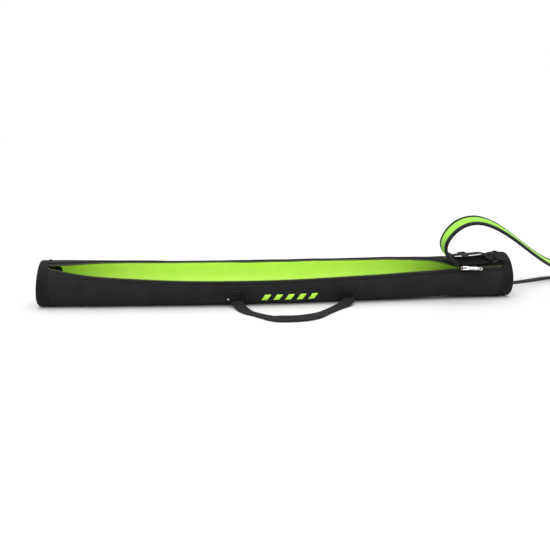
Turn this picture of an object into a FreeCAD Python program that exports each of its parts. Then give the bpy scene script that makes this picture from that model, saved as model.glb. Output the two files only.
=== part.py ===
"""Tubular padded carrying bag for a folded stand.

Frame: X runs along the bag, -Y is the side with the zip and the carry handle, +Z is up.
The origin is on the floor, under the middle of the bag. Millimetres and degrees.
"""

import FreeCAD, Part
import math
import os
import re

V = FreeCAD.Vector

SIZES = {
    # bag tube and its three layers
    "tube_length": 1050,
    "tube_radius": 51,
    "axis_height": 49.3,
    "shell_skin": 1.2,
    "foam_skin": 3.2,
    "lining_skin": 0.8,
    "cap_band": 20,
    "left_round": 6,
    "right_round": 7,
    "piping_proud": 1.2,
    "piping_width": 3,
    # zip
    "coil_width": 4,
    "tape_shown": 6,
    "tape_hidden": 8,
    "tape_skin": 0.8,
    "coil_skin": 2.4,
    "slider_place": 409,
    "zip_end": 495,
    "slider_length": 13,
    "slider_width": 10,
    "pull_length": 42,
    "pull_width": 9,
    "pull_thick": 1.4,
    # carry handle
    "webbing_width": 25,
    "webbing_thick": 2.4,
    "handle_centre": 26,
    "handle_spread": 247,
    "handle_reach": 139,
    "handle_bend": 80,
    "hinge_forward": 50,
    "hinge_height": 26,
    "patch_length": 34,
    "patch_low": 13,
    "patch_high": 43,
    "patch_skin": 1.8,
    "patch_shift": 8,
    "rivet_radius": 3,
    "rivet_height": 20,
    # shoulder strap
    "strap_width": 41,
    "strap_skin": 2.8,
    "binding_width": 7.5,
    "ring_wire": 3,
    "ring_inside": 27,
    "tab_width": 20,
    "tab_skin": 1.6,
    "glide_length": 16,
    "glide_bar": 3,
    "glide_place": 411,
    # printed mark
    "print_skin": 0.3,
    "print_bar": 13,
    "print_pitch": 26,
    # how deep each face lies under the tube's outside; what stands proud is negative
    "outer_face": 0,
    "foam_face": "=shell_skin",
    "lining_face": "=shell_skin + foam_skin",
    "inside_face": "=shell_skin + foam_skin + lining_skin",
    "tape_face": "=shell_skin + tape_skin",
    "coil_top": "=shell_skin / 2",
    "coil_bottom": "=shell_skin / 2 + coil_skin",
    "piping_face": "=-piping_proud",
    "patch_face": "=-patch_skin",
    "print_face": "=-print_skin",
    # where the end caps are sewn on, and the tube between them
    "seam": "=tube_length / 2 - cap_band",
    "span": "=tube_length - 2 * cap_band",
    # the handle's two sewn ends
    "handle_left": "=handle_centre - handle_spread / 2",
    "handle_right": "=handle_centre + handle_spread / 2",
    # the left patch reaches further out than the webbing that it covers
    "patch_left": "=handle_left - patch_length / 2 - patch_shift",
    "patch_right": "=handle_right - patch_length / 2",
}

ZIP_TILT = 40.0                       # the plane in which the mouth is drawn, up from the front
FRONT_LIP = [(-505, 9.5), (-434, -5), (-340, -16), (-126, -25.5), (150, -19.5), (309, -15.5),
             (409, -9)]
BACK_LIP = [(-505, 13.5), (-437, 22), (-287, 23.8), (-69, 22), (154, 19.4), (314, 14), (409, -9)]

doc = FreeCAD.newDocument("StandBag")
sheet = doc.addObject("Spreadsheet::Sheet", "Sizes")
for row, (alias, value) in enumerate(SIZES.items(), start=1):
    sheet.set("A%d" % row, alias)
    sheet.set("B%d" % row, str(value))
    sheet.setAlias("B%d" % row, alias)
doc.recompute()

nodes = []                            # the document's finished sub-parts


def size(alias):
    """A driving dimension, read from the sheet."""
    return float(sheet.get(alias))


def bind(thing, **expressions):
    """Bind properties to sheet cells; a double underscore stands for a dot."""
    for prop, text in expressions.items():
        bound = re.sub("[a-z_]+", lambda word: "Sizes." + word.group(), text)
        thing.setExpression(prop.replace("__", "."), bound)
    return thing


def keep(thing, label):
    """Mark an object as a sub-part and give it its file name."""
    thing.Label = label
    nodes.append(thing)
    return thing


def boolean(kind, base, tool):
    """What is left of base after a Cut with tool, or what the two have in Common."""
    thing = doc.addObject("Part::" + kind, kind)
    thing.Base = base
    thing.Tool = tool
    return thing


def feature(shape, label=None):
    """A plain feature for a shape made with Part's own functions."""
    thing = doc.addObject("Part::Feature", "Shape")
    thing.Shape = shape
    return keep(thing, label) if label else thing


def box(**expressions):
    return bind(doc.addObject("Part::Box", "Box"), **expressions)


def cylinder(**expressions):
    return bind(doc.addObject("Part::Cylinder", "Cylinder"), **expressions)


# ---------------------------------------------------------------- the tube and its layers

def core(inset, start, length, floor=None):
    """The tube's outline shrunk by inset: a round bar with a flat along its underside."""
    return flattened(round_bar(inset, start, length), start, length, floor or inset)


def round_bar(inset, start, length):
    """A bar along x about the tube's axis."""
    bar = cylinder(Radius="tube_radius - " + inset, Height=length, Placement__Base__x=start,
                   Placement__Base__z="axis_height")
    bar.Placement.Rotation = FreeCAD.Rotation(V(0, 1, 0), 90)
    return bar


def flattened(bar, start, length, floor):
    """The bar without what hangs below the floor's height."""
    above = box(Length=length, Width="tube_radius * 4", Height="tube_radius * 4",
                Placement__Base__x=start, Placement__Base__y="-2 * tube_radius",
                Placement__Base__z=floor)
    return boolean("Common", bar, above)


def rounded(bar, radius, at_right):
    """The bar with one end's edge rounded off."""
    doc.recompute()
    circles = [(edge.CenterOfMass.x, index) for index, edge in enumerate(bar.Shape.Edges, start=1)
               if isinstance(edge.Curve, Part.Circle)]
    index = max(circles)[1] if at_right else min(circles)[1]
    thing = doc.addObject("Part::Fillet", "Rounded")
    thing.Base = bar
    thing.Edges = [(index, radius, radius)]
    return thing


def layer(outer, inner):
    """One skin of the tube, from seam to seam."""
    return boolean("Cut", core(outer, "-seam", "span"), core(inner, "-seam", "span"))


def cup(side, outer, inner, label):
    """One skin of an end cap: a rounded cup that butts against the tube at the seam."""
    at_right = side == "right"
    solids = []
    for inset in (outer, inner):
        start = "seam" if at_right else "-seam - cap_band + " + inset
        length = "cap_band - " + inset
        radius = size(side + "_round") - size(inset)
        bar = rounded(round_bar(inset, start, length), radius, at_right)
        solids.append(flattened(bar, start, length, inset))
    keep(boolean("Cut", *solids), label + "_" + side)


# ---------------------------------------------------------------- the zip's mouth

def lip_curve(points, shift):
    """One lip in the mouth plane, moved sideways by shift: its edges, its start and its end."""
    shifted = [V(x, w + shift, 0) for x, w in points]
    spline = Part.BSplineCurve()
    spline.interpolate(shifted)
    end = V(size("zip_end"), shifted[-1].y, 0)
    return [spline.toShape(), Part.makeLine(shifted[-1], end)], shifted[0], end


def mouth_prism(low_points, low_shift, high_points, high_shift):
    """Everything outward of the tube's axis between two lines that follow the lips."""
    low, low_start, low_end = lip_curve(low_points, low_shift)
    high, high_start, high_end = lip_curve(high_points, high_shift)
    ends = [Part.makeLine(low_end, high_end), Part.makeLine(high_start, low_start)]
    wire = Part.Wire(Part.__sortEdges__(low + high + ends))
    prism = Part.Face(wire).extrude(V(0, 0, 2 * size("tube_radius")))
    tilt = math.radians(ZIP_TILT)
    to_mouth = FreeCAD.Matrix(1, 0, 0, 0,
                              0, math.sin(tilt), -math.cos(tilt), 0,
                              0, math.cos(tilt), math.sin(tilt), size("axis_height"),
                              0, 0, 0, 1)
    return feature(prism.transformGeometry(to_mouth))


coil = size("coil_width")
shown = coil + size("tape_shown")
hidden = shown + size("tape_hidden")

shell_mouth = mouth_prism(FRONT_LIP, -shown, BACK_LIP, shown)
inner_mouth = mouth_prism(FRONT_LIP, -hidden, BACK_LIP, hidden)

keep(boolean("Cut", layer("outer_face", "foam_face"), shell_mouth), "outer_shell")
keep(boolean("Cut", layer("foam_face", "lining_face"), inner_mouth), "foam_padding")
keep(boolean("Cut", layer("lining_face", "inside_face"), inner_mouth), "lining")

for side, seam_at in (("left", "-seam"), ("right", "seam")):
    cup(side, "outer_face", "foam_face", "cap_shell")
    cup(side, "foam_face", "lining_face", "cap_foam")
    cup(side, "lining_face", "inside_face", "cap_lining")
    start = seam_at + " - piping_width / 2"
    bead = core("piping_face", start, "piping_width", "outer_face")
    keep(boolean("Cut", bead, core("outer_face", start, "piping_width")), "cap_piping_" + side)

tape_layer = layer("foam_face", "tape_face")
coil_layer = layer("coil_top", "coil_bottom")
for side, points, sign in (("front", FRONT_LIP, -1), ("back", BACK_LIP, 1)):
    near, far = sorted((sign * coil, sign * hidden))
    keep(boolean("Common", tape_layer, mouth_prism(points, near, points, far)), "zip_tape_" + side)
    near, far = sorted((0, sign * coil))
    keep(boolean("Common", coil_layer, mouth_prism(points, near, points, far)), "zip_coil_" + side)


# ---------------------------------------------------------------- small pieces on the tube

def on_tube(angle, stand_off, along):
    """A placement on the tube: its x runs along the bag, its z points straight out."""
    turn = math.radians(angle)
    out = V(0, -math.cos(turn), math.sin(turn))
    up = V(0, math.sin(turn), math.cos(turn))
    place = V(along, 0, size("axis_height")) + out * (size("tube_radius") + stand_off)
    return FreeCAD.Placement(place, FreeCAD.Rotation(V(1, 0, 0), up, out, "XYZ"))


def origin_plane(body, role):
    return next(item for item in body.Origin.OriginFeatures if item.Role == role)


def sketch_body(label, placement):
    """A body with a sketch on its own ground plane."""
    body = doc.addObject("PartDesign::Body", label)
    body.Placement = placement
    sketch = body.newObject("Sketcher::SketchObject", label + "_outline")
    sketch.AttachmentSupport = [(origin_plane(body, "XY_Plane"), "")]
    sketch.MapMode = "FlatFace"
    return keep(body, label), sketch


def outline(sketch, corners):
    """A closed outline of straight lines."""
    for start, end in zip(corners, corners[1:] + corners[:1]):
        sketch.addGeometry(Part.LineSegment(V(*start, 0), V(*end, 0)), False)


def circle(sketch, x, y, radius):
    sketch.addGeometry(Part.Circle(V(x, y, 0), V(0, 0, 1), radius), False)


def pad(body, sketch, length, midplane=False):
    result = body.newObject("PartDesign::Pad", "Pad")
    result.Profile = sketch
    result.Midplane = midplane
    bind(result, Length=length)
    return result


# ---------------------------------------------------------------- zip slider and its pull

slider_angle = ZIP_TILT + math.degrees(math.asin(FRONT_LIP[-1][1] / size("tube_radius")))

# The slider: a wedge-shaped body that narrows towards the closed side.
SLIDER_LIFT = 0.4
BASE_THICK = 2.2
long = size("slider_length")
wide = size("slider_width")
body, sketch = sketch_body("slider_body", on_tube(slider_angle, SLIDER_LIFT, size("slider_place")))
outline(sketch, [(-long / 2, -wide / 2), (long / 5, -wide / 2), (long / 2, -wide / 3),
                 (long / 2, wide / 3), (long / 5, wide / 2), (-long / 2, wide / 2)])
pad(body, sketch, "%s" % BASE_THICK)

# The bridge: an arch along the slider, 2.2 wide, that holds the pull.
BRIDGE_WIDTH = 2.2
arch = [(-4.5, 0), (-4.5, 3.3), (4.5, 3.3), (4.5, 0), (3.1, 0), (3.1, 2.3), (-3.1, 2.3), (-3.1, 0)]
bridge_place = on_tube(slider_angle, SLIDER_LIFT + BASE_THICK, size("slider_place"))
upright = FreeCAD.Placement(V(0, BRIDGE_WIDTH / 2, 0), FreeCAD.Rotation(V(1, 0, 0), 90))
body, sketch = sketch_body("slider_bridge", bridge_place.multiply(upright))
outline(sketch, arch)
pad(body, sketch, "%s" % BRIDGE_WIDTH)

# The pull: its bail turns under the bridge, and the tab lies over the closed zip.
BAIL_LIFT = 0.45
BAIL_BACK = -2.2
BAIL_BAR = 1.6
BAIL_END = 6.6
BAIL_HALF = 1.5
EYE_RADIUS = 2
EYE_IN = 4
POINT = 2
pull_lift = SLIDER_LIFT + BASE_THICK + BAIL_LIFT
long = size("pull_length")
half = size("pull_width") / 2
body, sketch = sketch_body("pull_tab", on_tube(slider_angle, pull_lift, size("slider_place")))
outline(sketch, [(BAIL_BACK, -half), (long, -half), (long + POINT, 0), (long, half),
                 (BAIL_BACK, half)])
outline(sketch, [(BAIL_BACK + BAIL_BAR, -BAIL_HALF), (BAIL_END, -BAIL_HALF), (BAIL_END, BAIL_HALF),
                 (BAIL_BACK + BAIL_BAR, BAIL_HALF)])
circle(sketch, long - EYE_IN, 0, EYE_RADIUS)
nodes.remove(body)
pad(body, sketch, "pull_thick")
bail = cylinder(Radius="pull_thick / 2 + 0.1", Height="pull_width")
bail_middle = V(BAIL_BACK + BAIL_BAR / 2, half, size("pull_thick") / 2)
lying = FreeCAD.Placement(bail_middle, FreeCAD.Rotation(V(1, 0, 0), 90))
bail.Placement = on_tube(slider_angle, pull_lift, size("slider_place")).multiply(lying)
body.Label = "pull_plate"
keep(boolean("Fuse", body, bail), "pull_tab")

# Metal stops crimped over the coils at both ends of the zip.
STOP_LIFT = 0.3
STOP_SIDE = 4
STOP_TURN = 3                         # degrees from the lip's line to the middle of its coil
OPEN_END = -500
front_stop, back_stop = [ZIP_TILT + math.degrees(math.asin(points[0][1] / size("tube_radius")))
                         for points in (FRONT_LIP, BACK_LIP)]
centred = FreeCAD.Placement(V(-STOP_SIDE / 2, -STOP_SIDE / 2, 0), FreeCAD.Rotation())
stops = []
for angle, along in ((front_stop - STOP_TURN, OPEN_END), (back_stop + STOP_TURN, OPEN_END),
                     (slider_angle, size("zip_end") - 3)):
    crimp = box(Length="coil_width", Width="coil_width", Height="1")
    crimp.Placement = on_tube(angle, STOP_LIFT, along).multiply(centred)
    stops.append(crimp)
group = doc.addObject("Part::Compound", "Stops")
group.Links = stops
keep(group, "zip_stops")


# ---------------------------------------------------------------- carry handle

def patch(side):
    """A reinforcement sewn over one end of the handle, following the tube's front."""
    start = "patch_" + side
    skin = boolean("Cut", core("patch_face", start, "patch_length", "outer_face"),
                   core("outer_face", start, "patch_length"))
    window = box(Length="patch_length", Width="tube_radius * 2", Height="patch_high - patch_low",
                 Placement__Base__x=start, Placement__Base__y="-2 * tube_radius",
                 Placement__Base__z="patch_low")
    keep(boolean("Common", skin, window), "handle_patch_" + side)


for side in ("left", "right"):
    patch(side)

# A rivet through the left patch, at its outer lower corner.
RIVET_IN = 5
rivet_at = size("patch_left") + RIVET_IN
rivet_angle = math.degrees(math.asin((size("rivet_height") - size("axis_height")) / size("tube_radius")))
rivet = cylinder(Radius="rivet_radius", Height="1.2")
rivet.Placement = on_tube(rivet_angle, size("patch_skin"), rivet_at)
keep(rivet, "handle_rivet")

# The webbing: a flat U in a plane that slopes from the sewn ends down to the floor.
FLOOR_GAP = 0.1
slope = math.asin((size("hinge_height") - size("webbing_thick") / 2 - FLOOR_GAP) / size("handle_reach"))
forward = V(0, -math.cos(slope), -math.sin(slope))
facing = V(0, -math.sin(slope), math.cos(slope))
hinge = V(size("handle_centre"), -size("hinge_forward"), size("hinge_height"))
handle_place = FreeCAD.Placement(hinge, FreeCAD.Rotation(V(-1, 0, 0), forward, facing, "XYZ"))
body, sketch = sketch_body("handle_webbing", handle_place)


def bent_strip(sketch, half, reach, bend):
    """The outer or inner line of the U, from one end round to the other."""
    corner = bend * (1 - math.sqrt(0.5))
    sketch.addGeometry(Part.LineSegment(V(-half, 0, 0), V(-half, reach - bend, 0)), False)
    sketch.addGeometry(Part.Arc(V(-half, reach - bend, 0), V(-half + corner, reach - corner, 0),
                                V(-half + bend, reach, 0)), False)
    sketch.addGeometry(Part.LineSegment(V(-half + bend, reach, 0), V(half - bend, reach, 0)), False)
    sketch.addGeometry(Part.Arc(V(half - bend, reach, 0), V(half - corner, reach - corner, 0),
                                V(half, reach - bend, 0)), False)
    sketch.addGeometry(Part.LineSegment(V(half, reach - bend, 0), V(half, 0, 0)), False)


outer_half = size("handle_spread") / 2 + size("webbing_width") / 2
inner_half = outer_half - size("webbing_width")
reach = size("handle_reach")
bend = size("handle_bend")
bent_strip(sketch, outer_half, reach, bend)
bent_strip(sketch, inner_half, reach - size("webbing_width"), bend - size("webbing_width"))
for away in (-1, 1):
    sketch.addGeometry(Part.LineSegment(V(away * inner_half, 0, 0), V(away * outer_half, 0, 0)), False)
pad(body, sketch, "webbing_thick", midplane=True)


# ---------------------------------------------------------------- ribbons

def ribbon(route, across, columns, skin, count):
    """A flat strip through the route's points, with the given number of steps along it.

    across gives the strip's width direction at each point, columns the places along that
    direction from one edge to the other, and skin its two faces along the normal, which is
    width x travel. Every face between two steps and two columns is a pair of flat triangles.
    """
    curve = Part.BSplineCurve()
    curve.interpolate(route)
    marks = [curve.parameter(point) for point in route]
    outline_points = [(s, skin[0]) for s in columns] + [(s, skin[1]) for s in reversed(columns)]
    stride = (curve.LastParameter - curve.FirstParameter) / count
    rings = []
    for step in range(count + 1):
        at = curve.FirstParameter + stride * step
        low = max(i for i in range(len(marks) - 1) if i == 0 or marks[i] <= at)
        share = (at - marks[low]) / (marks[low + 1] - marks[low])
        travel = curve.tangent(at)[0]
        wide = across[low] * (1 - share) + across[low + 1] * share
        wide = (wide - travel * wide.dot(travel)).normalize()
        normal = wide.cross(travel)
        middle = curve.value(at)
        rings.append([middle + wide * s + normal * t for s, t in outline_points])
    sides = len(outline_points)
    faces = [polygon(rings[0]), polygon(rings[-1])]
    for near, far in zip(rings, rings[1:]):
        for i in range(sides):
            j = (i + 1) % sides
            if i < sides / 2:
                faces += [polygon([near[i], near[j], far[j]]), polygon([near[i], far[j], far[i]])]
            else:
                faces += [polygon([near[i], near[j], far[i]]), polygon([near[j], far[j], far[i]])]
    strip = Part.Solid(Part.Shell(faces))
    if strip.Volume < 0:
        strip.reverse()
    return strip


def polygon(corners):
    """A flat face with these corners."""
    return Part.Face(Part.makePolygon(corners + corners[:1]))


# The padded strap leaves the bag's top and loops up and back over the right-hand end. Each place is
# measured along and up in the loop's plane, and the last two numbers lean its width direction.
LOOP_YAW = math.radians(28.4)
LOOP_TILT = math.radians(22.3)
loop_start = V(385, -38, 91)
loop_along = V(math.cos(LOOP_YAW), math.sin(LOOP_YAW), 0)
loop_across = V(math.sin(LOOP_YAW) * math.cos(LOOP_TILT),
                -math.cos(LOOP_YAW) * math.cos(LOOP_TILT), -math.sin(LOOP_TILT))
loop_up = loop_across.cross(loop_along)
LOOP = [(4, 3, -0.4, -0.1), (-16.7, 6, -0.6, 0.1), (-33.7, 27.5, -0.52, 0.5),
        (-50.5, 56.7, -0.45, -0.08), (-36.5, 85.3, -0.45, 0.2), (9.9, 101.6, -0.37, 0.16),
        (78.9, 91.5, -0.13, 0.03), (162.3, 54.2, -0.17, -0.1), (252.1, 8.2, -0.16, -0.2),
        (342.6, -40.1, -0.08, -0.24), (400, -61, -0.1, -0.22), (442, -71, -0.1, -0.18)]


def in_loop(along, up):
    """A point in the loop's plane."""
    return loop_start + loop_along * along + loop_up * up


def leaned(along, up):
    """The loop's width direction, leaned along and up."""
    return loop_across + loop_along * along + loop_up * up


strap_route = [in_loop(place[0], place[1]) for place in LOOP]
strap_across = [leaned(place[2], place[3]) for place in LOOP]

half = size("strap_width") / 2
inner = half - size("binding_width")
skin = size("strap_skin")
PLY_GAP = 0.3
STRAP_STEPS = 60
face_edge = inner - PLY_GAP
for label, columns, faces in (("strap_webbing", (-half, -inner, 0, inner, half), (-skin, 0)),
                              ("strap_lining", (-face_edge, 0, face_edge), (PLY_GAP, skin)),
                              ("strap_binding_front", (inner, half), (PLY_GAP, skin)),
                              ("strap_binding_back", (-half, -inner), (PLY_GAP, skin))):
    feature(ribbon(strap_route, strap_across, columns, faces, STRAP_STEPS), label)


# ---------------------------------------------------------------- rings, tabs and adjusting webbing

def tangent_across(angle):
    """The direction along the tube's skin at an angle, towards the front."""
    turn = math.radians(angle)
    return V(0, -math.sin(turn), -math.cos(turn))


RING_LIFT = 5
RING_AT = 478
ring_angles = {"right": 58, "left": 150}
ring_radius = size("ring_inside") / 2 + size("ring_wire") / 2


def ring_place(side):
    """x points to the bag's end, y across the webbing, z out of the bag."""
    along = RING_AT if side == "right" else -RING_AT
    place = on_tube(ring_angles[side], RING_LIFT, along)
    turn = FreeCAD.Rotation() if side == "right" else FreeCAD.Rotation(V(0, 0, 1), 180)
    return place.multiply(FreeCAD.Placement(V(), turn))


def d_ring(side):
    """A straight bar and a half circle of round wire, with round corners."""
    wire = size("ring_wire") / 2
    bar = Part.makeCylinder(wire, 2 * ring_radius, V(0, -ring_radius, 0), V(0, 1, 0))
    bow = Part.makeTorus(ring_radius, wire, V(), V(0, 0, 1), 0, 360, 180)
    bow.rotate(V(), V(0, 0, 1), -90)
    corners = [Part.makeSphere(wire, V(0, away * ring_radius, 0)) for away in (-1, 1)]
    ring = bar.multiFuse([bow] + corners).removeSplitter()
    thing = feature(ring, "d_ring_" + side)
    thing.Placement = ring_place(side)


WIRE_GAP = 0.25                       # between the ring's wire and the webbing folded round it
TAB_START = 7.6
TAB_END = 37
SLOT_END = 22


def anchor_tab(side):
    """Webbing folded round the ring's bow and sewn to the cap's seam."""
    upright = FreeCAD.Placement(V(0, size("tab_width") / 2, 0), FreeCAD.Rotation(V(1, 0, 0), 90))
    body, sketch = sketch_body("anchor_tab_" + side, ring_place(side).multiply(upright))
    skin = size("tab_skin")
    inside = size("ring_wire") / 2 + WIRE_GAP
    outside = inside + skin
    slot_start = TAB_START + skin
    outline(sketch, [(TAB_START, -outside), (TAB_END, -outside), (TAB_END, outside), (TAB_START, outside)])
    outline(sketch, [(slot_start, -inside), (SLOT_END, -inside), (SLOT_END, inside), (slot_start, inside)])
    pad(body, sketch, "tab_width")


for side in ("left", "right"):
    d_ring(side)
    anchor_tab(side)

webbing_half = size("webbing_width") / 2
FOLD_SKIN = 0.8
bar_gap = size("ring_wire") / 2 + WIRE_GAP


def bar_fold(side):
    """The webbing's turn round the ring's bar."""
    start = V(0, -webbing_half, 0)
    full = Part.makeCylinder(bar_gap + 2 * FOLD_SKIN, 2 * webbing_half, start, V(0, 1, 0))
    fold = full.cut(Part.makeCylinder(bar_gap, 2 * webbing_half, start, V(0, 1, 0)))
    fold.Placement = ring_place(side)
    return fold


def beside_bar(side, along, out):
    """A point near the ring's bar."""
    return ring_place(side).multVec(V(along, 0, out))


turn_out = bar_gap + FOLD_SKIN
low_route = [V(403, -34.1, 91), V(412, -33.8, 90.8), V(440, -32.9, 91.4), V(460, -31, 93.2),
             beside_bar("right", -8, -turn_out - 0.4), beside_bar("right", -1.5, -turn_out)]
low_across = [loop_across, tangent_across(50), tangent_across(52), tangent_across(55),
              tangent_across(58), tangent_across(58)]
GLIDE_START = V(394, -31, 104.25)
GLIDE_END = V(452, -31, 107.6)
high_route = [V(384, -32, 104.1), GLIDE_START, (GLIDE_START * 2 + GLIDE_END) / 3,
              (GLIDE_START + GLIDE_END * 2) / 3, GLIDE_END, beside_bar("right", -8, turn_out + 0.4),
              beside_bar("right", -1.5, turn_out)]
level = V(0, -1, 0)
WEB_STEPS = 30
high_across = [level, level, level, level, level, tangent_across(60), tangent_across(58)]
sides = (-webbing_half, webbing_half)
skins = (-FOLD_SKIN, FOLD_SKIN)
low = ribbon(low_route, low_across, sides, skins, WEB_STEPS)
high = ribbon(high_route, high_across, sides, skins, WEB_STEPS)
feature(low.multiFuse([high, bar_fold("right")]), "adjuster_webbing")

# The long tail: sewn under the padded end, it turns back over the floor to the left-hand ring.
TAIL_STEPS = 110
tail_route = [in_loop(404, -66.7), in_loop(424, -71.5), in_loop(445, -76.3), in_loop(468, -80.9),
              in_loop(484, -86), in_loop(484, -93.5), in_loop(466, -96.3),
              V(700, 178, 1.6), V(640, 149, 1.6), V(540, 118, 1.6), V(420, 102, 1.6),
              V(250, 98, 1.6), V(50, 98, 1.6), V(-150, 98, 1.6), V(-290, 98, 1.8),
              V(-318, 98, 2.6), V(-342, 98, 5.6), V(-385, 93, 20), V(-425, 78, 43), V(-455, 62, 64),
              beside_bar("left", -8, turn_out + 0.4), beside_bar("left", -1.5, turn_out)]
flat_across = V(loop_across.x, loop_across.y, 0)
tail_across = [leaned(-0.1, -0.22), leaned(-0.1, -0.2), leaned(-0.1, -0.18)] + [flat_across] * 4
tail_across += [V(0.45, -0.9, 0), V(0.36, -0.93, 0), V(0.22, -0.97, 0)] + [V(0, -1, 0)] * 7
tail_across += [V(0, -1, 0.2), V(0, -1, 0.5), V(0, -0.8, 0.7), tangent_across(150), tangent_across(150)]
tail = ribbon(tail_route, tail_across, sides, skins, TAIL_STEPS)
feature(tail.multiFuse([bar_fold("left")]), "strap_tail_left")

# The tri-glide: two side rails, end bars above the webbing and a middle bar below it.
glide_axis = (GLIDE_END - GLIDE_START).normalize()
glide_up = V(-glide_axis.z, 0, glide_axis.x)
share = (size("glide_place") - GLIDE_START.x) / glide_axis.x
glide_place = FreeCAD.Placement(GLIDE_START + glide_axis * share,
                                FreeCAD.Rotation(glide_axis, V(0, 1, 0), glide_up, "XYZ"))
glide_long = size("glide_length")
glide_bar = size("glide_bar")
GLIDE_GAP = 0.8
GLIDE_SKIN = 1.8
rail_out = webbing_half + 0.6
rail_high = FOLD_SKIN + GLIDE_GAP + GLIDE_SKIN
blocks = []


def glide_block(x, y, z, long, wide, high):
    blocks.append(Part.makeBox(long, wide, high, V(x, y, z)))


for start_y in (-rail_out - glide_bar, rail_out):
    glide_block(-glide_long / 2, start_y, -rail_high, glide_long, glide_bar, 2 * rail_high)
for start_x in (-glide_long / 2, glide_long / 2 - glide_bar):
    glide_block(start_x, -rail_out, FOLD_SKIN + GLIDE_GAP, glide_bar, 2 * rail_out, GLIDE_SKIN)
glide_block(-glide_bar / 2, -rail_out, -rail_high, glide_bar, 2 * rail_out, GLIDE_SKIN)
thing = feature(blocks[0].multiFuse(blocks[1:]).removeSplitter(), "tri_glide")
thing.Placement = glide_place


# ---------------------------------------------------------------- the printed mark

# Five slanted bars, printed on the lower front between the handle's ends.
PRINT_ANGLE = -33
PRINT_MIDDLE = 16
PRINT_HALF = 9
SLANT = 8
half_bar = size("print_bar") / 2
marks = []
for index in range(-2, 3):
    left = PRINT_MIDDLE + index * size("print_pitch") - half_bar
    right = left + size("print_bar")
    corners = [V(left - SLANT / 2, -PRINT_HALF, 0), V(right - SLANT / 2, -PRINT_HALF, 0),
               V(right + SLANT / 2, PRINT_HALF, 0), V(left + SLANT / 2, PRINT_HALF, 0)]
    bar = Part.Face(Part.makePolygon(corners + corners[:1])).extrude(V(0, 0, 2 * size("tube_radius")))
    bar.Placement = on_tube(PRINT_ANGLE, -size("tube_radius"), 0)
    marks.append(bar)
ink = boolean("Cut", core("print_face", "-seam", "span", "outer_face"), core("outer_face", "-seam", "span"))
keep(boolean("Common", ink, feature(Part.makeCompound(marks))), "printed_bars")


# ---------------------------------------------------------------- checks and export

doc.recompute()
for thing in doc.Objects:
    if "Invalid" in thing.State or "Error" in thing.State:
        raise RuntimeError("%s failed: %s" % (thing.Label, thing.State))
for thing in nodes:
    shape = thing.Shape
    if shape.isNull() or not shape.isValid() or not shape.Solids:
        raise RuntimeError("%s has no valid solid" % thing.Label)

os.makedirs("parts", exist_ok=True)
for thing in nodes:
    thing.Shape.exportStep("parts/%s.step" % thing.Label)
    reach = thing.Shape.BoundBox
    print("%-22s %2d solids %10.1f mm3  x %7.1f %7.1f  y %7.1f %7.1f  z %6.1f %6.1f" % (
        thing.Label, len(thing.Shape.Solids), thing.Shape.Volume,
        reach.XMin, reach.XMax, reach.YMin, reach.YMax, reach.ZMin, reach.ZMax))
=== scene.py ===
"""Looks of the stand carrying bag: cloth, webbing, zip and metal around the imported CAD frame."""

import math

import bmesh
import bpy
import numpy as np
from mathutils import Matrix, Vector, noise


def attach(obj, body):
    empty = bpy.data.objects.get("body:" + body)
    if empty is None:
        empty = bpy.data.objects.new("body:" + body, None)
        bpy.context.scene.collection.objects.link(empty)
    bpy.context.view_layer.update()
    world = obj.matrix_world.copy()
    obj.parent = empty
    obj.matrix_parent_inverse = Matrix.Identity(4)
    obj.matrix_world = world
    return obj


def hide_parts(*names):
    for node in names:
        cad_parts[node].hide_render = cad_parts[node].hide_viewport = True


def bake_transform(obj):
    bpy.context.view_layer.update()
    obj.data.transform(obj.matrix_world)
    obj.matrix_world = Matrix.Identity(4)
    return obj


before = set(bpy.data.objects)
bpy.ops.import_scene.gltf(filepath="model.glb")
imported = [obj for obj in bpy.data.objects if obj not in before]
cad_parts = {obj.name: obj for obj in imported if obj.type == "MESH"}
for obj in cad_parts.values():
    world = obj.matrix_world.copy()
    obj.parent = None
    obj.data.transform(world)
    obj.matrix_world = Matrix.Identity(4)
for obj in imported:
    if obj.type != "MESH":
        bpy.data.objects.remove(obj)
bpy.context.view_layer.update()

MM = 0.001
SEAM = 505.0                # mm from the middle to each cap's seam
END = 525.0                 # mm from the middle to each end
AXIS = 49.3                 # height of the tube's axis
TUBE = 51.0                 # outside radius
CLOTH_LAYER = (0.0, 1.2)    # each layer's outside and inside, in mm below the skin
FOAM_LAYER = (1.3, 4.3)
LINING_LAYER = (4.4, 5.2)
WEB_HALF = 12.5             # half the width of the flat webbing
STITCH = (2.3, 0.5, 0.5)    # a stitch: long, wide, high
AHEAD = 1.5                 # mm along a seam from a stitch to the place it points at
EDGE_STEPS = 5              # points round each rounded edge of webbing
HEM_SHARE = 0.022           # share of a layer's girth that each of its fine ends takes


# ---------------------------------------------------------------- curves and tables

def table(pairs):
    """A smooth function through (x, y) pairs, flat beyond its ends."""
    xs = np.array([p[0] for p in pairs], float)
    ys = np.array([p[1] for p in pairs], float)
    slopes = np.gradient(ys, xs)

    def value(x):
        x = np.clip(np.asarray(x, float), xs[0], xs[-1])
        i = np.clip(np.searchsorted(xs, x) - 1, 0, len(xs) - 2)
        h = xs[i + 1] - xs[i]
        t = (x - xs[i]) / h
        rise = (2 * t**3 - 3 * t**2 + 1) * ys[i] + (3 * t**2 - 2 * t**3) * ys[i + 1]
        return rise + h * ((t**3 - 2 * t**2 + t) * slopes[i] + (t**3 - t**2) * slopes[i + 1])

    return value


def unit(vectors):
    return vectors / np.linalg.norm(vectors, axis=-1, keepdims=True)


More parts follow.
